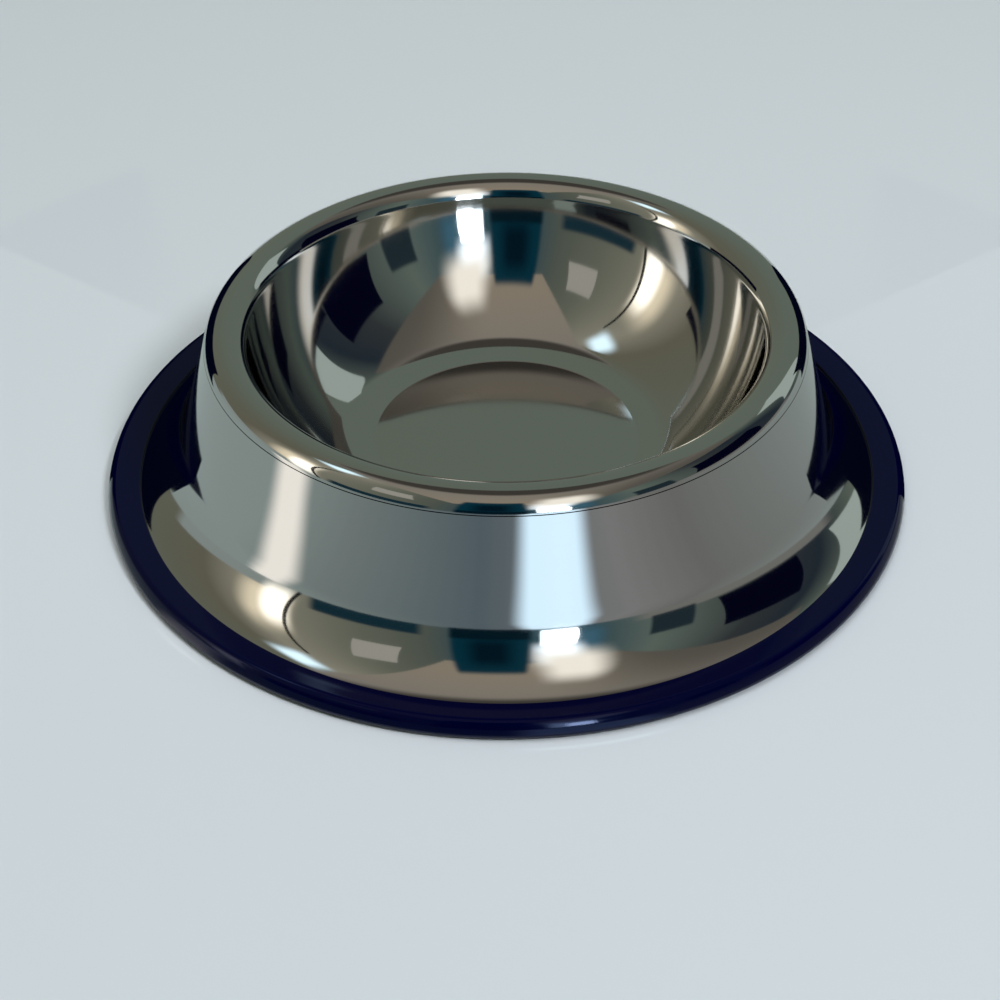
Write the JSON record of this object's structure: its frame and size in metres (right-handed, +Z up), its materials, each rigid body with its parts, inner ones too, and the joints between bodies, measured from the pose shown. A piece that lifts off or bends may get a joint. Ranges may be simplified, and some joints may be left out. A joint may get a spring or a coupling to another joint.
{
  "type": "non-tip pet bowl",
  "caption": "Round low pet bowl in polished stainless steel, with a rolled rim, a skirt that flares to a wide flange, and a black rubber ring that keeps it from sliding.",
  "frame": {"origin": "on the bowl's axis, at the level of the surface that it stands on", "axes": "+Z up, along the axis that the bowl is turned about; X and Y are free, because the bowl is round"},
  "size_m": [0.2088, 0.2088, 0.0475],
  "materials": {
    "polished_steel": "mirror-polished stainless steel sheet, polished while it turns, with fine marks round the axis",
    "black_rubber": "moulded black rubber with a soft satin shine"
  },
  "bodies": {
    "root": {"inner_bowl": "polished_steel", "outer_skirt": "polished_steel", "rubber_ring": "black_rubber"}
  },
  "joints": []
}
